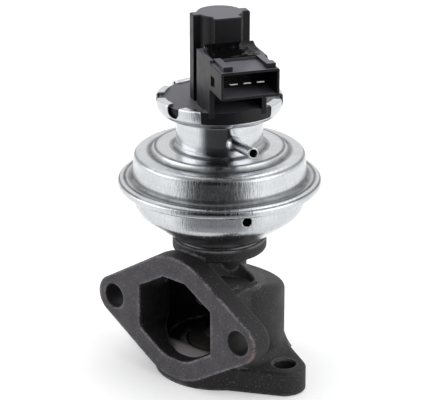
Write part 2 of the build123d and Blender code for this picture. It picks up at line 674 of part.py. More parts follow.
# ---------------------------------------------------------------- diaphragm, piston, spring
def diaphragm():
    roll_in = PISTON_R + PISTON_CLEAR
    roll_out = BOWL_R - SHEET - ROLL_CLEAR
    mid = (roll_in + roll_out) / 2
    outer, inner = (roll_out - roll_in) / 2, (roll_out - roll_in) / 2 - RUBBER
    spring_z = LOWER_FLANGE_TOP
    face = make_face(Plane.XZ * Curve([
        Line((roll_in, spring_z), (roll_in, PISTON_Z)),
        Line((roll_in, PISTON_Z), (STEM_TOP_R + STEM_CLEAR, PISTON_Z)),
        Line((STEM_TOP_R + STEM_CLEAR, PISTON_Z), (STEM_TOP_R + STEM_CLEAR, PISTON_Z - RUBBER)),
        Line((STEM_TOP_R + STEM_CLEAR, PISTON_Z - RUBBER), (roll_in + RUBBER, PISTON_Z - RUBBER)),
        Line((roll_in + RUBBER, PISTON_Z - RUBBER), (roll_in + RUBBER, spring_z)),
        ThreePointArc((roll_in + RUBBER, spring_z), (mid, spring_z + inner),
                      (roll_out - RUBBER, spring_z)),
        Line((roll_out - RUBBER, spring_z), (RIM_R - SHEET - CRIMP_CLEAR, spring_z)),
        Line((RIM_R - SHEET - CRIMP_CLEAR, spring_z), (RIM_R - SHEET - CRIMP_CLEAR, FLANGE_UNDER)),
        Line((RIM_R - SHEET - CRIMP_CLEAR, FLANGE_UNDER), (roll_out - 0.08, FLANGE_UNDER)),
        ThreePointArc((roll_out - 0.08, FLANGE_UNDER), (mid, spring_z + outer), (roll_in, spring_z)),
    ]))
    return revolve(face, Axis.Z)


def diaphragm_piston():
    low, top = PISTON_Z, PISTON_Z + PISTON_H
    cup = turned([
        (STEM_TOP_R + STEM_CLEAR, low), (PISTON_R, low), (PISTON_R, top),
        (PISTON_R - SHEET, top), (PISTON_R - SHEET, low + SHEET),
        (STEM_TOP_R + STEM_CLEAR, low + SHEET),
    ])
    return fillet(ring_edges(cup, PISTON_R, low), 0.8)


def coil(radius, wire, turns, low, high):
    """Round-wire compression spring that just fits between two heights."""
    rise = high - low - 2 * wire
    path = Helix(pitch=rise / turns, height=rise, radius=radius)
    section = Plane(origin=path @ 0, z_dir=path % 0) * Circle(wire)
    return Pos(0, 0, low + wire) * sweep(section, path=path, is_frenet=True)


def stem_nut():
    blank = extrude(RegularPolygon(NUT_AF / 2, 6, major_radius=False), amount=NUT_H)
    flat, wide = NUT_AF / 2 + 0.1, NUT_AF / 2 + 0.1 + NUT_CHAMFER
    blank &= turned([(0, 0), (flat, 0), (wide, NUT_CHAMFER), (wide, NUT_H - NUT_CHAMFER),
                     (flat, NUT_H), (0, NUT_H)])
    return Pos(0, 0, NUT_LOW) * (blank - disc(STEM_TOP_R, -1, NUT_H + 1))


# ---------------------------------------------------------------- lift sensor housing
def tower_outline():
    """Round tower with a straight nose towards the connector and a flat ear either side."""
    nose = Pos(TOWER_FRONT / 2, 0) * RectangleRounded(TOWER_FRONT, TOWER_FRONT_W, TOWER_CORNER)
    ears = Pos(EAR_T / 2 - EAR_BACK, 0) * Rectangle(EAR_T, 2 * EAR_REACH)
    return Circle(TOWER_R) + nose + ears


def sensor_tower():
    tower = Pos(0, 0, PLATE_TOP) * extrude(tower_outline(), amount=TOWER_TOP - PLATE_TOP)
    return chamfer(tower.edges().group_by(Axis.Z)[-1], TOWER_EDGE / 2)


def connector():
    half = SOCKET_W / 2
    box = block(SOCKET_START, SOCKET_FRONT, -half, half, SOCKET_LOW, SOCKET_TOP)
    upright = box.edges().filter_by(Axis.X).group_by(Axis.Z)
    box = fillet(upright[-1] + upright[0], TOWER_CORNER)
    # raised rim round the potting pocket
    rim = block(SOCKET_START, POCKET_FRONT + RIM_W, -half, half, SOCKET_TOP - 1, POCKET_TOP)
    slope = chamfer(rim.edges().filter_by(Axis.Y).group_by(Axis.Z)[-1].sort_by(Axis.X)[-1:], TOWER_EDGE)
    # rails that guide the plug's latch, each ending in a small lug
    rails = []
    for side in (-1, 1):
        q = side * RAIL_Q
        wide = RAIL_W / 2 + RAIL_LUG
        end = SOCKET_FRONT - RAIL_SETBACK
        rails.append(block(POCKET_FRONT, end, q - RAIL_W / 2, q + RAIL_W / 2,
                           SOCKET_TOP - 1, SOCKET_TOP + RAIL_H))
        rails.append(block(end - LUG_LENGTH, end + RAIL_LUG, q - wide, q + wide,
                           SOCKET_TOP - 1, SOCKET_TOP + RAIL_H + LUG_RISE))
    # pedestal: two side walls and a web behind the recess
    pedestal = []
    for side in (-1, 1):
        q0, q1 = sorted((side * half, side * (half - PEDESTAL_WALL)))
        pedestal.append(block(SOCKET_START, PEDESTAL_FRONT, q0, q1, PLATE_TOP - 1, SOCKET_LOW + 1))
    pedestal.append(block(SOCKET_START, PEDESTAL_WEB, -half + 1, half - 1,
                          PLATE_TOP - 1, SOCKET_LOW + 1))
    solid = sum_up([box, slope] + rails + pedestal)
    cavity = block(SOCKET_BACK, SOCKET_FRONT + 1, -half + SOCKET_WALL, half - SOCKET_WALL,
                   SOCKET_LOW + SOCKET_WALL, SOCKET_TOP - SOCKET_WALL)
    window = block(WINDOW_P - WINDOW_L / 2, WINDOW_P + WINDOW_L / 2, -half - 1, -half + SOCKET_WALL,
                   WINDOW_Z - WINDOW_H / 2, WINDOW_Z + WINDOW_H / 2)
    return solid - cavity - window - potting_space(POCKET_TOP + 1)


def potting_space(top):
    return block(POCKET_BACK, POCKET_FRONT, -POCKET_W / 2, POCKET_W / 2, POCKET_LOW, top)


def resin_cap():
    """Resin that stands over the pocket's rim and climbs the tower's front."""
    back, front = (TOWER_FRONT, POCKET_TOP + RESIN_RISE), (POCKET_FRONT, POCKET_TOP + RESIN_T)
    middle = ((back[0] + front[0]) / 2, (back[1] + front[1]) / 2 - RESIN_SAG)
    side = make_face(Plane.XZ * Curve([
        Line((TOWER_FRONT, POCKET_TOP), back), ThreePointArc(back, middle, front),
        Line(front, (POCKET_FRONT, POCKET_TOP)), Line((POCKET_FRONT, POCKET_TOP), (TOWER_FRONT, POCKET_TOP)),
    ]))
    return extrude(side, amount=RESIN_W / 2, both=True)


def pins():
    blades = []
    tip = SOCKET_FRONT - PIN_SETBACK
    for k in range(PIN_COUNT):
        q = (k - (PIN_COUNT - 1) / 2) * PIN_PITCH
        blade = block(TRACK_FACE, tip, q - PIN_W / 2, q + PIN_W / 2,
                      PIN_Z - PIN_T / 2, PIN_Z + PIN_T / 2)
        front = blade.edges().filter_by(Axis.Y).group_by(Axis.X)[-1]
        blades.append(chamfer(front, 0.25))
    return blades


def sensor_plate():
    arc_r, arc_z = CUP_R - CUP_CURVE, CUP_FLOOR + CUP_CURVE
    curve = CUP_CURVE - SHEET - PLATE_CLEAR
    diagonal = curve / math.sqrt(2)
    edge = make_face(Plane.XZ * Curve([
        Line((0, PLATE_BOTTOM), (arc_r, PLATE_BOTTOM)),
        Line((arc_r, PLATE_BOTTOM), (arc_r, arc_z - curve)),
        ThreePointArc((arc_r, arc_z - curve), (arc_r + diagonal, arc_z - diagonal),
                      (arc_r + curve, arc_z)),
        Line((arc_r + curve, arc_z), (arc_r + curve, PLATE_TOP)),
        Line((arc_r + curve, PLATE_TOP), (0, PLATE_TOP)), Line((0, PLATE_TOP), (0, PLATE_BOTTOM)),
    ]))
    plate = revolve(edge, Axis.Z)
    top = PLATE_TOP + PLATE_STEP
    raised = ring(CUP_R - FRONT_SETBACK, TOWER_R, CUP_LIP + PLATE_CLEAR, top)
    raised &= wedge(GAP_HALF - FRONT_GAP, CUP_LIP, top)
    spigot = disc(SPIGOT_R, PLATE_BOTTOM - SPIGOT_H, PLATE_BOTTOM)
    groove_mid = PLATE_BOTTOM - SPIGOT_H / 2
    groove = ring(SPIGOT_R + 1, SPIGOT_R - RING_GROOVE, groove_mid - 1.1, groove_mid + 1.1)
    hollow = ring(SPIGOT_R - 4.2, BUSH_R + 2.0, PLATE_BOTTOM - SPIGOT_H - 1, PLATE_BOTTOM)
    return plate + raised + spigot - groove - hollow


def sensor_housing():
    solid = sensor_plate() + sensor_tower() + connector()
    inner = make_face(Polyline(
        (0, -TRACK_W / 2 - TRACK_CLEAR), (TRACK_FACE, -TRACK_W / 2 - TRACK_CLEAR),
        (TRACK_FACE, TRACK_W / 2 + TRACK_CLEAR), (0, TRACK_W / 2 + TRACK_CLEAR), close=True))
    cavity = Circle(TOWER_R - TOWER_WALL) + inner
    solid -= Pos(0, 0, CAVITY_LOW) * extrude(cavity, amount=CAVITY_TOP - CAVITY_LOW)
    solid -= disc(BUSH_R, PLATE_BOTTOM - SPIGOT_H - 1, CAVITY_LOW + 1)
    for blade in pins():
        solid -= blade
    return AIMED * solid


def potting():
    solid = potting_space(POCKET_TOP) + resin_cap()
    for blade in pins():
        solid -= blade
    return AIMED * solid


def plunger_bush():
    return ring(BUSH_R, PLUNGER_R + PLUNGER_CLEAR, PLATE_BOTTOM - SPIGOT_H, CAVITY_LOW)


def sensor_ring():
    """Round rubber ring in the spigot's groove, against the neck."""
    centre_r = SPIGOT_R - RING_GROOVE + RING_WIRE + 0.04
    return Pos(0, 0, PLATE_BOTTOM - SPIGOT_H / 2) * Torus(centre_r, RING_WIRE)


# ---------------------------------------------------------------- lift sensor mechanism
def sensor_plunger():
    return turned([
        (0, PLUNGER_LOW), (PLUNGER_R - 0.6, PLUNGER_LOW), (PLUNGER_R, PLUNGER_LOW + 0.6),
        (PLUNGER_R, CARRIER_Z), (PLUNGER_R - 0.5, CARRIER_Z), (PLUNGER_R - 0.5, PLUNGER_TOP),
        (0, PLUNGER_TOP),
    ])


def wiper_carrier():
    low, high = CARRIER_Z, CARRIER_Z + CARRIER_H
    solid = ring(CARRIER_R, PLUNGER_R - 0.5, low, high)
    solid -= block(brush_root(), CARRIER_R + 1, -CARRIER_R, CARRIER_R, low - 1, high + 1)
    return AIMED * solid


def brush_root():
    """Flat on the carrier's front that the brushes are fixed to."""
    return CARRIER_R - 1.8


def wiper_brushes():
    face = TRACK_FACE - TRACK_T - BRUSH_GAP
    brushes = []
    for side in (-1, 1):
        q = side * TRACK_W / 4
        root = block(brush_root(), brush_root() + BRUSH_T, q - BRUSH_W / 2, q + BRUSH_W / 2,
                     CARRIER_Z + 0.5, CARRIER_Z + CARRIER_H - 0.5)
        arm = block(brush_root(), face, q - BRUSH_W / 2, q + BRUSH_W / 2,
                    CARRIER_Z + CARRIER_H - 0.5 - BRUSH_T, CARRIER_Z + CARRIER_H - 0.5)
        brushes.append(AIMED * (root + arm))
    return Compound(brushes)


def resistor_track():
    return AIMED * block(TRACK_FACE - TRACK_T, TRACK_FACE, -TRACK_W / 2, TRACK_W / 2,
                         TRACK_LOW, TRACK_LOW + TRACK_H)


# ---------------------------------------------------------------- assembly
keep("valve_housing", housing())
keep("valve_seat", valve_seat())
keep("valve_poppet", poppet())
keep("valve_stem", valve_stem())
keep("stem_guide", ring(GUIDE_R, STEM_R + STEM_CLEAR, GUIDE_LOW, GUIDE_TOP))
keep("stem_shield", stem_shield())
keep("base_gasket", base_gasket())
keep("lower_shell", lower_shell())
keep("shell_screws", shell_screws())
keep("stem_seal", stem_seal())
keep("seal_retainer", seal_retainer())
keep("upper_shell", upper_shell())
keep("vacuum_nipple", vacuum_nipple())
keep("diaphragm", diaphragm())
keep("diaphragm_piston", diaphragm_piston())
keep("diaphragm_washer", ring(WASHER_R, STEM_TOP_R + STEM_CLEAR, STEM_SHOULDER, STEM_SHOULDER + WASHER_T))
keep("stem_nut", stem_nut())
keep("return_spring", coil(SPRING_R, SPRING_WIRE, SPRING_TURNS, NUT_LOW, PLATEAU - SHEET))
keep("sensor_housing", sensor_housing())
keep("sensor_ring", sensor_ring())
keep("terminal_pins", AIMED * Compound(pins()))
keep("potting_compound", potting())
keep("plunger_bush", plunger_bush())
keep("sensor_plunger", sensor_plunger())
keep("plunger_spring", coil(RETURN_R, RETURN_WIRE, RETURN_TURNS, CARRIER_Z + CARRIER_H, CAVITY_TOP))
keep("wiper_carrier", wiper_carrier())
keep("wiper_brushes", wiper_brushes())
keep("resistor_track", resistor_track())

os.makedirs("parts", exist_ok=True)
for name, shape in NODES.items():
    export_step(shape, os.path.join("parts", name + ".step"))
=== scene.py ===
import math

import bmesh
import bpy
from mathutils import Matrix, Vector, noise


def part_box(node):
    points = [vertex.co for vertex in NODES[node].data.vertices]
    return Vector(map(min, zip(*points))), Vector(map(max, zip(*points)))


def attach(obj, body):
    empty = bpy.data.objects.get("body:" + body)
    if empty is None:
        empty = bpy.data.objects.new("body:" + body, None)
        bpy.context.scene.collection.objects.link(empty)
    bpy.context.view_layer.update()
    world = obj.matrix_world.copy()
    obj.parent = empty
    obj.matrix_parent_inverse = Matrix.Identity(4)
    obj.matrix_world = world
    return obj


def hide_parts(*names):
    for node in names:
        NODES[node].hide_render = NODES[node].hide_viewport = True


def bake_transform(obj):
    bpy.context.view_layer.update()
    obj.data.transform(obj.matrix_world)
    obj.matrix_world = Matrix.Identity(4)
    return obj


bl_info = {
    "name": "Exhaust gas valve dressing",
    "version": (1, 0, 0),
    "blender": (4, 5, 0),
    "location": "View3D > Sidebar > Gas Valve",
    "description": "Finishes the metal, casting and plastic of a vacuum-operated gas valve",
    "category": "Object",
}

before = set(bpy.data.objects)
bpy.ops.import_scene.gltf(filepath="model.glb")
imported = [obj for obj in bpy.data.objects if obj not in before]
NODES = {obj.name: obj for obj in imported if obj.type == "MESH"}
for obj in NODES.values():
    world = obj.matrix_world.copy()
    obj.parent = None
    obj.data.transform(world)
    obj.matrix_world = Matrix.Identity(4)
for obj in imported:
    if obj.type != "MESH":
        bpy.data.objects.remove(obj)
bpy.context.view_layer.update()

MM = 0.001
AIM = math.radians(-30.0)                 # direction of the connector and nipple from +X
AXIS_Z = Vector((0, 0, 1))

# places on the casting that its finish follows
FLANGE_FACE_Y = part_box("valve_housing")[0][1]
FLANGE_BOLT_X, FLANGE_BOLT_Z = 32.0 * MM, 27.0 * MM
CHAMBER_R = 20.4 * MM
CHAMBER_FLOOR_LOW, CHAMBER_FLOOR_TOP = 9.6 * MM, 10.25 * MM

# folds and seams of the plated shells that hold dirt and are painted darker as shade: radius,
# height and width
CREASES = [
    (33.4 * MM, 78.9 * MM, 1.7 * MM),     # foot of the can's side on its rim
    (35.8 * MM, 78.3 * MM, 0.8 * MM),     # rim's flat top
    (37.8 * MM, 77.7 * MM, 0.5 * MM),     # rim's rounded edge
    (32.0 * MM, 87.8 * MM, 0.8 * MM),     # corner between the can's side and its top
    (26.2 * MM, 88.6 * MM, 1.5 * MM),     # foot of the can's raised middle
    (24.2 * MM, 90.2 * MM, 0.7 * MM),     # edge of the can's raised middle
    (17.4 * MM, 90.4 * MM, 1.7 * MM),     # foot of the neck
    (35.0 * MM, 74.5 * MM, 1.3 * MM),     # inner edge of the crimp
]

# colours of small marks, of what settles on the surfaces, and of painted light and shade
WORN_IRON = (0.21, 0.195, 0.205, 1)
IRON_FLECK = (0.28, 0.27, 0.28, 1)
RUST = (0.26, 0.13, 0.10, 1)
# lighter grey painted on the chamber floor as light falling through the port
PORT_LIGHT_ON_FLOOR = (0.34, 0.32, 0.33, 1)
# near black painted into the flange's bolt holes as shade
BOLT_HOLE_SHADE = (0.006, 0.0058, 0.006, 1)
# dark grey for dirt and painted shade in the can's creases
CREASE_DIRT_AND_SHADE = (0.03, 0.032, 0.036, 1)
# pale grey painted on up-facing plastic as sheen from the light above
PAINTED_TOP_SHEEN = (0.125, 0.123, 0.145, 1)

CARD_HEIGHT = 1.25                        # height of the studio's cards over the valve


# ---------------------------------------------------------------- settings
class ValveFinish(bpy.types.PropertyGroup):
    """Colours and surface sizes of the valve's finishes."""

    iron_colour: bpy.props.FloatVectorProperty(
        name="Casting colour", description="Phosphated cast iron between its grains",
        subtype="COLOR", size=3, default=(0.0105, 0.0102, 0.0108), min=0, max=1)
    iron_face_colour: bpy.props.FloatVectorProperty(
        name="Machined face colour", description="Coated face of the intake flange",
        subtype="COLOR", size=3, default=(0.052, 0.0485, 0.054), min=0, max=1)
    zinc_colour: bpy.props.FloatVectorProperty(
        name="Zinc colour", description="Bright zinc plate on the can",
        subtype="COLOR", size=3, default=(0.66, 0.68, 0.70), min=0, max=1)
    plastic_colour: bpy.props.FloatVectorProperty(
        name="Plastic colour", description="Glass-filled black nylon of the sensor",
        subtype="COLOR", size=3, default=(0.0045, 0.0042, 0.0055), min=0, max=1)
    grain_size: bpy.props.FloatProperty(
        name="Casting grain", description="Distance across one grain of the casting skin",
        default=0.0006, min=0.0002, max=0.003, unit="LENGTH", precision=5)


class ValveStage(bpy.types.PropertyGroup):
    """Camera and studio round the valve."""

    azimuth: bpy.props.FloatProperty(
        name="Camera azimuth", description="Turn of the camera round the valve",
        subtype="ANGLE", default=math.radians(42.15))
    elevation: bpy.props.FloatProperty(
        name="Camera elevation", description="Height of the camera above the horizon",
        subtype="ANGLE", default=math.radians(21.30))
    distance: bpy.props.FloatProperty(
        name="Camera distance", description="Camera to the point that it looks at",
        default=0.692, min=0.1, unit="LENGTH")
    target_height: bpy.props.FloatProperty(
        name="Target height", description="Height of the point that the camera looks at",
        default=0.06784, unit="LENGTH", precision=5)
    target_shift: bpy.props.FloatProperty(
        name="Target shift", description="Sideways shift of the point that the camera looks at",
        default=-0.00136, unit="LENGTH", precision=5)
    lens: bpy.props.FloatProperty(
        name="Lens", description="Focal length on a 36 mm wide sensor, in millimetres",
        default=152.15, min=10)
    floor_glow: bpy.props.FloatProperty(
        name="Floor glow", description="Light that whitens the floor where it is seen or mirrored",
        default=0.2, min=0)
    card_left: bpy.props.FloatProperty(
        name="Card left", description="Reach of the black cards to the left of the camera",
        subtype="ANGLE", default=math.radians(52))
    card_right: bpy.props.FloatProperty(
        name="Card right", description="Reach of the black cards to the right of the camera",
        subtype="ANGLE", default=math.radians(41))
    card_fade: bpy.props.FloatProperty(
        name="Card fade", description="Width of the cards' pale sides",
        subtype="ANGLE", default=math.radians(16))
    floor_size: bpy.props.FloatProperty(
        name="Floor size", description="Width of the floor",
        default=3.0, min=0.5, unit="LENGTH")


# ---------------------------------------------------------------- node helpers
def new_group(name, inputs, outputs):
    """Shader node group with float or vector sockets and their starting values."""
    group = bpy.data.node_groups.new(name, "ShaderNodeTree")
    kinds = {"f": "NodeSocketFloat", "v": "NodeSocketVector"}
    for label, kind, value in inputs:
        socket = group.interface.new_socket(label, in_out="INPUT", socket_type=kinds[kind])
        if value is not None:
            socket.default_value = value
    for label, kind in outputs:
        group.interface.new_socket(label, in_out="OUTPUT", socket_type=kinds[kind])
    return group, group.nodes.new("NodeGroupInput"), group.nodes.new("NodeGroupOutput")


def place_group(tree, group, **inputs):
    """Adds a node group to a material, with its inputs by name."""
    node = tree.nodes.new("ShaderNodeGroup")
    node.node_tree = group
    for key, value in inputs.items():
        feed(tree, node.inputs[key], value)
    return node


def give_out(group, sink, **values):
    """Links a node group's results to its outputs by name."""
    for name, value in values.items():
        group.links.new(value, sink.inputs[name])


def feed(tree, socket, value):
    """Links another socket to an input, or sets the input to a plain value."""
    if isinstance(value, bpy.types.NodeSocket):
        tree.links.new(value, socket)
    else:
        socket.default_value = value


def add(tree, kind, settings=None, **inputs):
    """Adds a node; inputs are values or sockets to link, by name or as i and an index."""
    node = tree.nodes.new("ShaderNode" + kind)
    for key, value in (settings or {}).items():
        setattr(node, key, value)
    for key, value in inputs.items():
        by_index = key[0] == "i" and key[1:].isdigit()
        feed(tree, node.inputs[int(key[1:]) if by_index else key.replace("_", " ")], value)
    return node


def maths(tree, operation, first, second=0.0, clamp=False):
    """One operation on two values or sockets."""
    return add(tree, "Math", {"operation": operation, "use_clamp": clamp},
               i0=first, i1=second).outputs[0]


def total(tree, first, *others):
    """Sum of values or sockets."""
    for other in others:
        first = maths(tree, "ADD", first, other)
    return first


def product(tree, first, *others):
    """Product of values or sockets."""
    for other in others:
        first = maths(tree, "MULTIPLY", first, other)
    return first


def hypotenuse(tree, one, two):
    """Straight distance from two distances at right angles."""
    return maths(tree, "SQRT", total(tree, product(tree, one, one), product(tree, two, two)))


def mixed(tree, factor, first, second, blend="MIX"):
    """Colour mix of two sockets or colours."""
    return add(tree, "Mix", {"data_type": "RGBA", "blend_type": blend},
               i0=factor, i6=first, i7=second).outputs[2]


def ramp(tree, value, low, high, out_low=0.0, out_high=1.0):
    """Clamped straight-line map of a value."""
    return add(tree, "MapRange", {"clamp": True},
               i0=value, i1=low, i2=high, i3=out_low, i4=out_high).outputs[0]


def noise_value(tree, where, scale, detail, roughness, dimensions="3D"):
    """Cloudy noise between 0 and 1."""
    return add(tree, "TexNoise", {"noise_dimensions": dimensions},
               Vector=where, Scale=scale, Detail=detail, Roughness=roughness).outputs[0]


def split(tree, vector):
    """X, Y and Z of a vector."""
    return tuple(add(tree, "SeparateXYZ", None, Vector=vector).outputs)


def object_coordinates(tree):
    """Place on the piece, which is also its place in the valve's frame."""
    return add(tree, "TexCoord").outputs["Object"]


def rgba(colour):
    """Colour of a setting, made opaque."""
    return (*colour[:3], 1.0)


def new_material(name):
    """Material with its node tree and its shader."""
    material = bpy.data.materials.new(name)
    material.use_nodes = True
    tree = material.node_tree
    shader = tree.nodes["Principled BSDF"]
    return material, tree, shader


def roughen(tree, shader, height, strength, depth, edge_r, samples=6):
    """Bumps the surface by a height and rounds its edges where light falls on them."""
    edge_normal = add(tree, "Bevel", {"samples": samples}, Radius=edge_r).outputs[0]
    bump = add(tree, "Bump", None, Strength=strength, Distance=depth,
               Height=height, Normal=edge_normal)
    tree.links.new(bump.outputs[0], shader.inputs["Normal"])


# ---------------------------------------------------------------- shared effects
def grain_group():
    """Rough skin: height and tone from fine grains over broad waves."""
    group, source, sink = new_group(
        "surface grain",
        [("Vector", "v", None), ("Grain", "f", 1600.0), ("Wave", "f", 180.0), ("Depth", "f", 0.5)],
        [("Height", "f"), ("Tone", "f"), ("Speck", "f")])
    where = source.outputs["Vector"]
    fine = noise_value(group, where, source.outputs["Grain"], 3.0, 0.6)
    broad = noise_value(group, where, source.outputs["Wave"], 2.0, 0.5)
    waves = product(group, broad, 0.5)
    give_out(group, sink,
             Height=total(group, product(group, fine, source.outputs["Depth"]), waves),
             Tone=total(group, product(group, fine, 0.5), waves),
             Speck=ramp(group, fine, 0.60, 0.74))
    return group


def turned_lines_group():
    """Fine lines of a drawn or turned surface: along the axis on walls, round it on flats."""
    group, source, sink = new_group(
        "draw lines",
        [("Vector", "v", None), ("Lines", "f", 260.0), ("Rings", "f", 900.0)],
        [("Streak", "f"), ("Ring", "f"), ("Blotch", "f")])
    where = source.outputs["Vector"]
    x, y, z = split(group, where)
    flat = add(group, "CombineXYZ", None, X=x, Y=y).outputs[0]
    outward = add(group, "VectorMath", {"operation": "NORMALIZE"}, i0=flat).outputs[0]
    out_x, out_y, _ = split(group, outward)
    stretched_z = product(group, z, 6.0)
    round_axis = add(group, "CombineXYZ", None, X=out_x, Y=out_y, Z=stretched_z).outputs[0]
    in_section = add(group, "CombineXYZ", None, X=hypotenuse(group, x, y), Y=z).outputs[0]
    give_out(group, sink,
             Streak=noise_value(group, round_axis, source.outputs["Lines"], 3.0, 0.65),
             Ring=noise_value(group, in_section, source.outputs["Rings"], 3.0, 0.6, "2D"),
             Blotch=noise_value(group, where, 70.0, 3.0, 0.6))
    return group


def crease_group():
    """Thin dark ring of dirt, draw marks and painted shade round the axis at one radius and height.
    """
    group, source, sink = new_group(
        "crease ring",
        [("Vector", "v", None), ("Radius", "f", 0.03), ("Height", "f", 0.08),
         ("Width", "f", 0.0006)],
        [("Mask", "f")])
    where = source.outputs["Vector"]
    x, y, z = split(group, where)
    across = maths(group, "SUBTRACT", hypotenuse(group, x, y), source.outputs["Radius"])
    above = maths(group, "SUBTRACT", z, source.outputs["Height"])
    away = maths(group, "DIVIDE", hypotenuse(group, across, above), source.outputs["Width"])
    near = maths(group, "SUBTRACT", 1.0, away, clamp=True)
    uneven = ramp(group, noise_value(group, where, 150.0, 2.0, 0.6), 0.3, 0.7, 0.7, 1.0)
    give_out(group, sink, Mask=product(group, maths(group, "SQRT", near), uneven))
    return group


# ---------------------------------------------------------------- materials
def iron_material(finish, grain):
    """Cast iron with worn edges, flecks, a rust spot, light painted on the chamber floor by the
    port and shade painted in the bolt holes.
    """
    material, t, shader = new_material("phosphated cast iron")
    where = object_coordinates(t)
    x, y, z = split(t, where)
    skin = place_group(t, grain, Vector=where, Grain=1.0 / finish.grain_size, Wave=160.0, Depth=0.6)
    tone = skin.outputs["Tone"]
    edge = edge_mask(t)
    on_face = ramp(t, y, FLANGE_FACE_Y + 0.3 * MM, FLANGE_FACE_Y + 0.1 * MM)
    colour = mixed(t, on_face, rgba(finish.iron_colour), rgba(finish.iron_face_colour))
    shade = ramp(t, tone, 0.35, 0.65, 0.62, 1.4)
    grey = add(t, "CombineXYZ", None, X=shade, Y=shade, Z=shade).outputs[0]
    colour = mixed(t, 1.0, colour, grey, "MULTIPLY")
    worn = product(t, edge, ramp(t, tone, 0.42, 0.58, 0.05, 0.9))
    colour = mixed(t, worn, colour, WORN_IRON)
    flecks = product(t, skin.outputs["Speck"], ramp(t, edge, 0.0, 1.0, 0.4, 1.0))
    colour = mixed(t, flecks, colour, IRON_FLECK)
    colour = mixed(t, rust_mask(t, where, tone, edge), colour, RUST)
    # painted light on the chamber floor near the port
    colour = mixed(t, port_light_mask(t, x, y, z), colour, PORT_LIGHT_ON_FLOOR)
    # painted shade inside the bolt holes
    colour = mixed(t, bolt_hole_shade_mask(t, x, y, z), colour, BOLT_HOLE_SHADE)
    t.links.new(colour, shader.inputs["Base Color"])
    shader.inputs["Specular IOR Level"].default_value = 0.35
    t.links.new(ramp(t, tone, 0.3, 0.7, 0.5, 0.72), shader.inputs["Roughness"])
    roughen(t, shader, skin.outputs["Height"], strength=0.35, depth=0.25 * MM, edge_r=0.9 * MM)
    return material


def edge_mask(tree):
    """Mask of the casting's edges, where its coat has rubbed off."""
    wide_normal = add(tree, "Bevel", {"samples": 8}, Radius=2.4 * MM).outputs[0]
    flat_normal = add(tree, "NewGeometry").outputs["Normal"]
    likeness = add(tree, "VectorMath", {"operation": "DOT_PRODUCT"},
                   i0=wide_normal, i1=flat_normal).outputs["Value"]
    return ramp(tree, likeness, 0.99, 0.88)


def rust_mask(tree, where, tone, edge):
    """Mask of the ragged rust spot at the flange's edge, beside its bolt hole at +X."""
    spot = (38.6 * MM, FLANGE_FACE_Y, 24.5 * MM)
    away = add(tree, "VectorMath", {"operation": "DISTANCE"}, i0=where, i1=spot).outputs["Value"]
    ragged = total(tree, away, product(tree, tone, -6.0 * MM))
    return product(tree, ramp(tree, ragged, 2.2 * MM, 0.2 * MM), edge,
                   ramp(tree, tone, 0.44, 0.58, 0.0, 0.75))


def port_light_mask(tree, x, y, z):
    """Mask of the chamber floor near the port, where light falling through the port is painted on
    in a lighter grey; its straight far edge is a painted shadow line.
    """
    # painted light fills the floor up to the first y and fades into painted shadow by the second
    lit_y, shaded_y = -14.5 * MM, -12.0 * MM
    return product(tree,
                   ramp(tree, z, CHAMBER_FLOOR_TOP + 0.05 * MM, CHAMBER_FLOOR_TOP),
                   ramp(tree, hypotenuse(tree, x, y), CHAMBER_R + 0.2 * MM, CHAMBER_R),
                   ramp(tree, z, CHAMBER_FLOOR_LOW - 0.1 * MM, CHAMBER_FLOOR_LOW),
                   ramp(tree, y, shaded_y, lit_y))


def bolt_hole_shade_mask(tree, x, y, z):
    """Mask of the insides of the flange's two bolt holes, painted near black as shade."""
    hole_r = 4.9 * MM
    beside = maths(tree, "SUBTRACT", maths(tree, "ABSOLUTE", x), FLANGE_BOLT_X)
    above = maths(tree, "SUBTRACT", z, FLANGE_BOLT_Z)
    return product(tree, ramp(tree, hypotenuse(tree, beside, above), hole_r + 0.1 * MM, hole_r),
                   ramp(tree, y, FLANGE_FACE_Y + 0.2 * MM, FLANGE_FACE_Y + 0.6 * MM))


def zinc_material(finish, lines, crease):
    """Zinc plate with draw lines and blotches, dirty and painted darker as shade in its creases,
    and smoother on the neck.
    """
    material, t, shader = new_material("bright zinc plate")
    where = object_coordinates(t)
    drawn = place_group(t, lines, Vector=where, Lines=52.0, Rings=1500.0)
    streak = ramp(t, drawn.outputs["Streak"], 0.3, 0.7)
    blotch = ramp(t, drawn.outputs["Blotch"], 0.3, 0.7)
    ring = ramp(t, drawn.outputs["Ring"], 0.3, 0.7)
    darker = tuple(0.70 * c for c in finish.zinc_colour)
    tone = total(t, product(t, streak, 0.35), product(t, blotch, 0.35), product(t, ring, 0.25))
    colour = mixed(t, tone, rgba(finish.zinc_colour), rgba(darker))
    dirt_and_shade = 0.0
    for radius, height, width in CREASES:
        ring_dirt_and_shade = place_group(t, crease, Vector=where, Radius=radius, Height=height, Width=width)
        dirt_and_shade = maths(t, "MAXIMUM", dirt_and_shade, ring_dirt_and_shade.outputs["Mask"])
    # dirt and painted shade darken the creases
    t.links.new(mixed(t, product(t, dirt_and_shade, 0.95), colour, CREASE_DIRT_AND_SHADE), shader.inputs["Base Color"])
    shader.inputs["Metallic"].default_value = 1.0
    neck_r, side_r = 16.5 * MM, 32.0 * MM
    x, y, _ = split(t, where)
    girth = ramp(t, hypotenuse(t, x, y), neck_r, side_r, 0.25, 1.0)
    roughness = total(t, product(t, streak, 0.18, girth), product(t, blotch, 0.07),
                      product(t, dirt_and_shade, 0.2), 0.10)
    t.links.new(roughness, shader.inputs["Roughness"])
    waves = total(t, product(t, drawn.outputs["Streak"], 0.8),
                  product(t, drawn.outputs["Ring"], 0.2), product(t, drawn.outputs["Blotch"], 1.5))
    roughen(t, shader, product(t, waves, girth), strength=0.62, depth=0.2 * MM, edge_r=0.5 * MM)
    return material


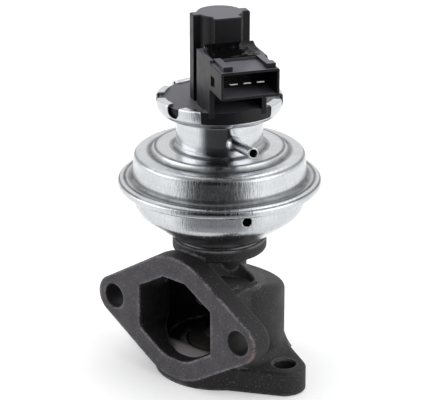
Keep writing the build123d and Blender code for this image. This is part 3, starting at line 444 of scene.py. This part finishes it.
def plastic_material(finish, grain):
    """Black nylon with a fine grain, and a painted sheen on the faces that look up."""
    material, t, shader = new_material("glass-filled nylon")
    skin = place_group(t, grain, Vector=object_coordinates(t), Grain=2600.0, Wave=260.0, Depth=0.4)
    tone = ramp(t, skin.outputs["Tone"], 0.35, 0.65)
    lighter = tuple(1.5 * c for c in finish.plastic_colour)
    colour = mixed(t, tone, rgba(finish.plastic_colour), rgba(lighter))
    facing_up = split(t, add(t, "NewGeometry").outputs["Normal"])[2]
    # painted sheen on the faces that look up, uneven with the grain
    top_sheen = product(t, ramp(t, facing_up, 0.80, 0.94),
                   ramp(t, skin.outputs["Tone"], 0.35, 0.65, 0.75, 1.0))
    t.links.new(mixed(t, top_sheen, colour, PAINTED_TOP_SHEEN), shader.inputs["Base Color"])
    t.links.new(ramp(t, skin.outputs["Tone"], 0.3, 0.7, 0.36, 0.52), shader.inputs["Roughness"])
    shader.inputs["Specular IOR Level"].default_value = 0.25
    roughen(t, shader, skin.outputs["Height"], strength=0.15, depth=0.1 * MM, edge_r=0.35 * MM)
    return material


def plain_material(name, grain, colour, metallic, roughness, grain_scale=1500.0, bump=0.1,
                   shine=0.5):
    """Small part's finish: one base colour, broken up by the shared grain."""
    material, t, shader = new_material(name)
    skin = place_group(t, grain, Vector=object_coordinates(t), Grain=grain_scale,
                       Wave=grain_scale / 6, Depth=0.5)
    tone = ramp(t, skin.outputs["Tone"], 0.35, 0.65)
    darker = tuple(0.75 * c for c in colour)
    t.links.new(mixed(t, tone, rgba(darker), rgba(colour)), shader.inputs["Base Color"])
    shader.inputs["Metallic"].default_value = metallic
    shader.inputs["Specular IOR Level"].default_value = shine
    t.links.new(ramp(t, skin.outputs["Tone"], 0.3, 0.7, roughness * 0.85, roughness * 1.15),
                shader.inputs["Roughness"])
    roughen(t, shader, skin.outputs["Height"], strength=bump, depth=0.05 * MM,
            edge_r=0.2 * MM, samples=4)
    return material


def dress(material, *names):
    """Gives CAD nodes their material."""
    for name in names:
        mesh = NODES[name].data
        mesh.materials.clear()
        mesh.materials.append(material)


# ---------------------------------------------------------------- operators
class GASVALVE_OT_metal(bpy.types.Operator):
    """Finish the casting, the plated can and the turned steel parts"""

    bl_idname = "gasvalve.metal"
    bl_label = "Dress metal parts"

    def execute(self, context):
        finish = context.scene.valve_finish
        grain = grain_group()
        lines = turned_lines_group()
        dress(iron_material(finish, grain), "valve_housing")
        zinc = zinc_material(finish, lines, crease_group())
        dress(zinc, "upper_shell", "lower_shell", "vacuum_nipple", "diaphragm_piston",
              "diaphragm_washer")
        make_bowl(zinc)
        dress(plain_material("turned steel", grain, (0.42, 0.41, 0.40), 1.0, 0.38),
              "shell_screws", "seal_retainer", "stem_nut", "sensor_plunger")
        # the seat, stem, poppet and shield are sooty and are also painted darker as shade inside
        # the chamber
        dress(plain_material("sooty steel with painted shade", grain, (0.030, 0.027, 0.025), 0.3, 0.62),
              "valve_seat", "valve_stem", "valve_poppet", "stem_shield")
        dress(plain_material("gasket steel", grain, (0.6, 0.6, 0.6), 1.0, 0.3), "base_gasket")
        dress(plain_material("sintered bronze", grain, (0.5, 0.34, 0.16), 1.0, 0.45),
              "stem_guide", "plunger_bush")
        wire = plain_material("spring wire", grain, (0.30, 0.30, 0.31), 1.0, 0.35)
        dress(wire, "return_spring", "plunger_spring")
        make_coil("return_spring", wire, mean_r=20.2 * MM, wire_r=1.2 * MM, turns=4)
        make_coil("plunger_spring", wire, mean_r=3.4 * MM, wire_r=0.4 * MM, turns=6)
        dress(plain_material("tinned brass", grain, (0.92, 0.90, 0.84), 1.0, 0.18),
              "terminal_pins", "wiper_brushes")
        return {"FINISHED"}


class GASVALVE_OT_sensor(bpy.types.Operator):
    """Finish the sensor's plastic, resin, rubber and ceramic parts"""

    bl_idname = "gasvalve.sensor"
    bl_label = "Dress sensor"

    def execute(self, context):
        finish = context.scene.valve_finish
        grain = bpy.data.node_groups["surface grain"]
        dress(plastic_material(finish, grain), "sensor_housing", "wiper_carrier")
        resin = plain_material("potting resin", grain, (0.002, 0.002, 0.0022), 0.0, 0.16,
                               grain_scale=400.0, bump=0.05, shine=0.10)
        dress(resin, "potting_compound")
        make_resin_skin(resin)
        rubber = plain_material("moulded rubber", grain, (0.02, 0.02, 0.02), 0.0, 0.7)
        dress(rubber, "diaphragm", "sensor_ring", "stem_seal")
        make_diaphragm(rubber)
        dress(plain_material("track ceramic", grain, (0.6, 0.6, 0.57), 0.0, 0.5), "resistor_track")
        return {"FINISHED"}


class GASVALVE_OT_stage(bpy.types.Operator):
    """Set the floor, the studio light and the camera"""

    bl_idname = "gasvalve.stage"
    bl_label = "Set stage"

    def execute(self, context):
        scene = context.scene
        stage = scene.valve_stage
        make_floor(stage)
        make_flags(stage)
        make_over_card(stage)
        make_world(scene)
        make_lamps()
        make_camera(scene, stage)
        scene.view_settings.view_transform = "Standard"
        return {"FINISHED"}


# ---------------------------------------------------------------- new pieces
def new_piece(name, bm, material):
    """Object made from a finished bmesh, in one material."""
    mesh = bpy.data.meshes.new(name)
    bm.to_mesh(mesh)
    bm.free()
    mesh.materials.append(material)
    piece = bpy.data.objects.new(name, mesh)
    bpy.context.scene.collection.objects.link(piece)
    return piece


def spun_ring(section, steps):
    """Closed ring turned round the valve axis from an outline of (radius, height) points."""
    bm = bmesh.new()
    verts = [bm.verts.new((r, 0, z)) for r, z in section]
    edges = [bm.edges.new((verts[i - 1], verts[i])) for i in range(len(verts))]
    bmesh.ops.spin(bm, geom=verts + edges, cent=(0, 0, 0), axis=AXIS_Z, angle=2 * math.pi,
                   steps=steps, use_merge=True)
    return bm


def smooth_outwards(bm):
    """Turns a closed shape's faces outwards and shades them smooth."""
    bmesh.ops.recalc_face_normals(bm, faces=bm.faces)
    for face in bm.faces:
        face.smooth = True


def keep_folds(piece):
    """Leaves the folds of a smooth sheet sharp."""
    piece.data.set_sharp_from_angle(angle=math.radians(40))


def make_bowl(material):
    """Dished lower shell, spun from its drawn section, with its vent and screw holes."""
    rim_r, wall_r, sheet = 37.3 * MM, 32.4 * MM, 1.0 * MM
    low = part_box("lower_shell")[0][2]
    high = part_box("lower_shell")[1][2]
    slope = math.radians(38.0)
    knee_r, hole_r = 17.2 * MM, 7.6 * MM
    inner_knee_r = knee_r - sheet * math.tan(slope / 2)
    inner_wall_r = wall_r - sheet
    corner_z = low + (wall_r - knee_r) * math.tan(slope)
    inner_corner_z = low + sheet + (inner_wall_r - inner_knee_r) * math.tan(slope)
    bm = spun_ring([(hole_r, low), (knee_r, low), (wall_r, corner_z), (wall_r, high - sheet),
                    (rim_r, high - sheet), (rim_r, high), (inner_wall_r, high),
                    (inner_wall_r, inner_corner_z), (inner_knee_r, low + sheet),
                    (hole_r, low + sheet)], steps=160)
    for fold_r, fold_z, bend in ((wall_r, corner_z, 3.2 * MM),
                                 (inner_wall_r, inner_corner_z, 2.6 * MM),
                                 (knee_r, low, 1.0 * MM),
                                 (wall_r, high - sheet, 0.5 * MM)):
        round_fold(bm, fold_r, fold_z, bend)
    smooth_outwards(bm)
    piece = new_piece("bowl", bm, material)
    vent_r, vent_z = 1.8 * MM, 71.2 * MM
    screw_count, screw_ring_r, screw_hole_r = 3, 13.4 * MM, 2.1 * MM
    vent = (Matrix.Rotation(AIM, 4, "Z") @ Matrix.Translation((wall_r, 0, vent_z))
            @ Matrix.Rotation(math.pi / 2, 4, "Y"))
    holes = [(vent, vent_r)]
    for k in range(screw_count):
        turn = AIM + (k + 0.5) * 2 * math.pi / screw_count
        screw = (Matrix.Rotation(turn, 4, "Z")
                 @ Matrix.Translation((screw_ring_r, 0, low + sheet / 2)))
        holes.append((screw, screw_hole_r))
    drill_holes(piece, holes)
    keep_folds(piece)
    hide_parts("lower_shell")
    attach(piece, "housing")
    return piece


def round_fold(bm, fold_r, fold_z, bend):
    """Rounds the ring of edges at one radius and height."""
    near = 0.02 * MM
    ring = [e for e in bm.edges
            if all(abs(math.hypot(v.co.x, v.co.y) - fold_r) < near
                   and abs(v.co.z - fold_z) < near for v in e.verts)]
    bmesh.ops.bevel(bm, geom=ring, offset=bend, segments=6, affect="EDGES", profile=0.5,
                    material=-1)


def drill_holes(piece, holes):
    """Cuts round holes: each is a matrix whose Z runs along the hole, and a radius."""
    drill_length = 4 * MM
    bm = bmesh.new()
    for matrix, hole_r in holes:
        bmesh.ops.create_cone(bm, cap_ends=True, segments=32, radius1=hole_r, radius2=hole_r,
                              depth=drill_length, matrix=matrix)
    drill = new_piece("drill", bm, piece.data.materials[0])
    cut = piece.modifiers.new("holes", "BOOLEAN")
    cut.operation = "DIFFERENCE"
    cut.object = drill
    cut.solver = "EXACT"
    evaluated = piece.evaluated_get(bpy.context.evaluated_depsgraph_get())
    mesh = bpy.data.meshes.new_from_object(evaluated)
    piece.modifiers.clear()
    solid = piece.data
    piece.data = mesh
    bpy.data.meshes.remove(solid)
    bpy.data.objects.remove(drill)


def make_coil(node, material, mean_r, wire_r, turns):
    """Compression spring coiled between a moving body below and the housing above."""
    low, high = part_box(node)[0][2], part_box(node)[1][2]
    rise = high - low - 2 * wire_r
    steps_per_turn = 36
    steps = turns * steps_per_turn
    lead = math.atan2(rise, 2 * math.pi * turns * mean_r)
    start = (Matrix.Translation((mean_r, 0, low + wire_r))
             @ Matrix.Rotation(lead - math.pi / 2, 4, "X"))
    bm = bmesh.new()
    bmesh.ops.create_circle(bm, segments=12, radius=wire_r, matrix=start)
    bmesh.ops.spin(bm, geom=bm.verts[:] + bm.edges[:], cent=(0, 0, 0), axis=AXIS_Z,
                   dvec=(0, 0, rise / steps), angle=2 * math.pi * turns, steps=steps)
    ends = bmesh.ops.holes_fill(bm, edges=[e for e in bm.edges if e.is_boundary], sides=0)
    smooth_outwards(bm)
    for face in ends["faces"]:
        face.smooth = False
    piece = new_piece(node + "_coil", bm, material)
    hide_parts(node)
    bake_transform(piece)
    return piece


def make_diaphragm(material):
    """Rolling diaphragm spun from its section, with its middle on the stem and its edge clamped."""
    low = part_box("diaphragm")[0][2]
    rim_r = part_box("diaphragm")[1][0]
    hole_r, wall_r, roll_r, rubber = 2.55 * MM, 23.2 * MM, 31.1 * MM, 0.8 * MM
    roll_z = 76.5 * MM
    middle, bend = (wall_r + roll_r) / 2, (roll_r - wall_r) / 2
    wall_steps, bend_steps = 12, 14
    flat_z = low + rubber
    up = [roll_z + (flat_z - roll_z) * i / wall_steps for i in range(wall_steps + 1)]
    section = [(wall_r, z) for z in up] + [(hole_r, flat_z), (hole_r, low)]
    section += [(wall_r + rubber, z) for z in [low] + up[::-1][1:]]
    section += [(middle - (bend - rubber) * math.cos(math.pi * i / bend_steps),
                 roll_z + (bend - rubber) * math.sin(math.pi * i / bend_steps))
                for i in range(1, bend_steps + 1)]
    section += [(rim_r, roll_z), (rim_r, roll_z + rubber)]
    lip = math.asin(rubber / bend)
    section += [(middle + bend * math.cos(lip + (math.pi - lip) * i / bend_steps),
                 roll_z + bend * math.sin(lip + (math.pi - lip) * i / bend_steps))
                for i in range(bend_steps)]
    bm = spun_ring(section, steps=120)
    smooth_outwards(bm)
    piece = new_piece("rolling_diaphragm", bm, material)
    keep_folds(piece)
    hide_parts("diaphragm")
    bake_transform(piece)
    return piece


def make_resin_skin(material):
    """Lumpy skin of the resin that was poured over the pocket and set against the tower."""
    back, front, half = 10.5 * MM, 21.6 * MM, 9.6 * MM
    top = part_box("potting_compound")[1][2] - 2.5 * MM
    rise, edge, droop, skirt = 2.4 * MM, 0.35 * MM, 0.55 * MM, 0.25 * MM
    corner_start, corner_drop = 0.45, 0.75          # shares of the half width and of the climb
    broad_lump, fine_lump = 0.30 * MM, 0.10 * MM
    bm = bmesh.new()
    bmesh.ops.create_grid(bm, x_segments=44, y_segments=64, size=0.5)
    for vert in bm.verts:
        along, across = vert.co.x + 0.5, vert.co.y * 2.0
        corner = max(0.0, abs(across) - corner_start) / (1.0 - corner_start)
        climb = (rise - edge) * (1.0 - along) ** 2.2 * (1.0 - corner_drop * corner)
        rim = min(1.0, (1.0 - abs(across)) * 7.0, (1.0 - along) * 8.0 + 0.15)
        pattern = Vector((along * 11.0, across * 9.6, 0.0))
        lump = broad_lump * noise.noise(pattern * 0.34)
        lump += fine_lump * noise.noise(pattern * 0.8 + Vector((7, 3, 1)))
        height = top + edge + climb - (1.0 - rim) ** 2 * droop + lump * rim
        vert.co = Vector((back + along * (front - back), across * half, height))
    edges = [e for e in bm.edges if e.is_boundary]
    walls = bmesh.ops.extrude_edge_only(bm, edges=edges)
    for vert in walls["geom"]:
        if isinstance(vert, bmesh.types.BMVert):
            vert.co.z = top - skirt
    bmesh.ops.holes_fill(bm, edges=[e for e in bm.edges if e.is_boundary], sides=0)
    bmesh.ops.rotate(bm, matrix=Matrix.Rotation(AIM, 3, "Z"), verts=bm.verts)
    smooth_outwards(bm)
    piece = new_piece("resin_skin", bm, material)
    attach(piece, "housing")
    return piece


# ---------------------------------------------------------------- stage
def make_floor(stage):
    """Pale floor that is white where the camera or a mirror sees it."""
    bm = bmesh.new()
    bmesh.ops.create_grid(bm, x_segments=1, y_segments=1, size=stage.floor_size / 2)
    material, t, shader = new_material("pale floor")
    shader.inputs["Base Color"].default_value = (0.93, 0.93, 0.93, 1)
    shader.inputs["Roughness"].default_value = 0.9
    shader.inputs["Specular IOR Level"].default_value = 0.1
    shader.inputs["Emission Color"].default_value = (1, 1, 1, 1)
    t.links.new(product(t, seen_or_mirrored(t), stage.floor_glow),
                shader.inputs["Emission Strength"])
    floor = new_piece("floor", bm, material)


def seen_or_mirrored(tree):
    """1 for rays from the camera, from mirrors and through glass, and 0 for other light."""
    light = add(tree, "LightPath")
    return maths(tree, "MAXIMUM", light.outputs["Is Camera Ray"],
                 maths(tree, "MAXIMUM", light.outputs["Is Glossy Ray"],
                       light.outputs["Is Transmission Ray"]))


def new_card_material(name):
    """Black material whose only light is its faint glow."""
    material, t, shader = new_material(name)
    shader.inputs["Base Color"].default_value = (0.0, 0.0, 0.0, 1)
    shader.inputs["Roughness"].default_value = 1.0
    shader.inputs["Specular IOR Level"].default_value = 0.0
    shader.inputs["Emission Color"].default_value = (0.95, 0.97, 1.0, 1)
    return material, t, shader


def make_card(name, bm, material):
    """Studio card that shows only in reflections."""
    card = new_piece(name, bm, material)
    card.visible_camera = False
    card.visible_diffuse = False
    card.visible_shadow = False


def card_material(stage):
    """Dark card that pales towards its sides and, on the floor, near the valve and in a band."""
    material, t, shader = new_card_material("dark card")
    x, y, z = split(t, object_coordinates(t))
    radius = hypotenuse(t, x, y)
    bright_r, pool_r, pool_end_r = 0.12, 0.246, 0.274
    pool = total(t, ramp(t, radius, bright_r, pool_r, 0.26, 0.0),
                 ramp(t, radius, pool_r, pool_end_r, 0.15, 0.0))
    band_low_r, band_rise_r, band_fall_r, band_end_r = 0.30, 0.34, 0.36, 0.41
    band = product(t, ramp(t, radius, band_low_r, band_rise_r),
                   ramp(t, radius, band_end_r, band_fall_r, 0.03, 0.14))
    on_floor = ramp(t, z, 0.01, 0.02, 1.0, 0.0)
    near = maths(t, "MAXIMUM", product(t, total(t, pool, band), on_floor), 0.008)
    turn = maths(t, "ARCTAN2", x, product(t, y, -1.0))
    left_end, right_end = stage.azimuth - stage.card_left, stage.azimuth + stage.card_right
    left = ramp(t, turn, left_end, left_end + stage.card_fade, 1.0, 0.0)
    right = ramp(t, turn, right_end - stage.card_fade, right_end)
    t.links.new(maths(t, "MAXIMUM", near, maths(t, "MAXIMUM", left, right)),
                shader.inputs["Emission Strength"])
    return material


def make_flags(stage):
    """Dark cards on the floor, in front of the valve and sloping up over it."""
    material = card_material(stage)
    near, far, over = 0.06, 0.85, 0.12
    lift, height = 0.0005, 0.75
    start = stage.azimuth - stage.card_left
    for name, low, high in (("card_floor", (near, lift), (far, lift)),
                            ("card_front", (far, lift), (far, height)),
                            ("card_above", (far, height), (over, CARD_HEIGHT))):
        bm = bmesh.new()
        ends = [bm.verts.new((r * math.sin(start), -r * math.cos(start), z))
                for r, z in (low, high)]
        edge = bm.edges.new(ends)
        bmesh.ops.spin(bm, geom=[edge] + ends, cent=(0, 0, 0), axis=AXIS_Z,
                       angle=stage.card_left + stage.card_right, steps=24)
        make_card(name, bm, material)


def make_over_card(stage):
    """Dark strip overhead that carries the cards over the valve to its far side."""
    material, _, shader = new_card_material("dark overhead card")
    shader.inputs["Emission Strength"].default_value = 0.02
    width, front, rear = 0.48, -0.14, 0.62
    bm = bmesh.new()
    bmesh.ops.create_grid(bm, x_segments=1, y_segments=1, size=0.5)
    for vert in bm.verts:
        vert.co = Vector((vert.co.x * width, front + (vert.co.y + 0.5) * (rear - front),
                          CARD_HEIGHT))
    bmesh.ops.rotate(bm, matrix=Matrix.Rotation(stage.azimuth, 3, "Z"), verts=bm.verts)
    make_card("card_over", bm, material)


def make_world(scene):
    """White studio, brighter where it is seen or mirrored than as light."""
    world = bpy.data.worlds.new("studio")
    scene.world = world
    world.use_nodes = True
    t = world.node_tree
    back = t.nodes["Background"]
    back.inputs["Color"].default_value = (1, 1, 1, 1)
    as_light, as_seen = 0.55, 1.0
    t.links.new(ramp(t, seen_or_mirrored(t), 0.0, 1.0, as_light, as_seen),
                back.inputs["Strength"])


def make_lamps():
    """Three soft lamps that face the middle of the valve."""
    middle = Vector((0, 0, 0.07))
    lamps = [
        ("lamp_left", (-1.0, -0.9, 0.9), 1.4, 10.0),
        ("lamp_right", (1.2, 0.3, 0.8), 1.3, 8.0),
        ("lamp_top", (0.0, 0.4, 1.5), 1.4, 8.0),
    ]
    for name, place, size, power in lamps:
        data = bpy.data.lights.new(name, "AREA")
        data.size = size
        data.energy = power
        lamp = bpy.data.objects.new(name, data)
        lamp.location = place
        lamp.rotation_mode = "QUATERNION"
        lamp.rotation_quaternion = (middle - Vector(place)).to_track_quat("-Z", "Y")
        bpy.context.scene.collection.objects.link(lamp)


def make_camera(scene, stage):
    """Camera on a sphere round its target."""
    a, e = stage.azimuth, stage.elevation
    back = Vector((math.sin(a) * math.cos(e), -math.cos(a) * math.cos(e), math.sin(e)))
    right = Vector((math.cos(a), math.sin(a), 0))
    target = Vector((0, 0, stage.target_height)) + right * stage.target_shift
    data = bpy.data.cameras.new("camera")
    data.sensor_width = 36.0
    data.lens = stage.lens
    data.clip_start = 0.01
    camera = bpy.data.objects.new("camera", data)
    camera.location = target + back * stage.distance
    camera.rotation_mode = "QUATERNION"
    camera.rotation_quaternion = (-back).to_track_quat("-Z", "Y")
    scene.collection.objects.link(camera)
    scene.camera = camera


# ---------------------------------------------------------------- panel and registration
class GASVALVE_PT_panel(bpy.types.Panel):
    """Lists the valve's operators and settings"""

    bl_label = "Gas Valve"
    bl_idname = "GASVALVE_PT_panel"
    bl_space_type = "VIEW_3D"
    bl_region_type = "UI"
    bl_category = "Gas Valve"

    def draw(self, context):
        layout = self.layout
        for group in (context.scene.valve_finish, context.scene.valve_stage):
            for name in group.__annotations__:
                layout.prop(group, name)
        for operator in OPERATORS:
            layout.operator(operator.bl_idname)


OPERATORS = (GASVALVE_OT_metal, GASVALVE_OT_sensor, GASVALVE_OT_stage)
CLASSES = (ValveFinish, ValveStage) + OPERATORS + (GASVALVE_PT_panel,)


def register():
    for cls in CLASSES:
        bpy.utils.register_class(cls)
    bpy.types.Scene.valve_finish = bpy.props.PointerProperty(type=ValveFinish)
    bpy.types.Scene.valve_stage = bpy.props.PointerProperty(type=ValveStage)


def unregister():
    del bpy.types.Scene.valve_stage
    del bpy.types.Scene.valve_finish
    for cls in reversed(CLASSES):
        bpy.utils.unregister_class(cls)


def main():
    register()
    bpy.ops.gasvalve.metal()
    bpy.ops.gasvalve.sensor()
    bpy.ops.gasvalve.stage()


if __name__ == "__main__":
    main()
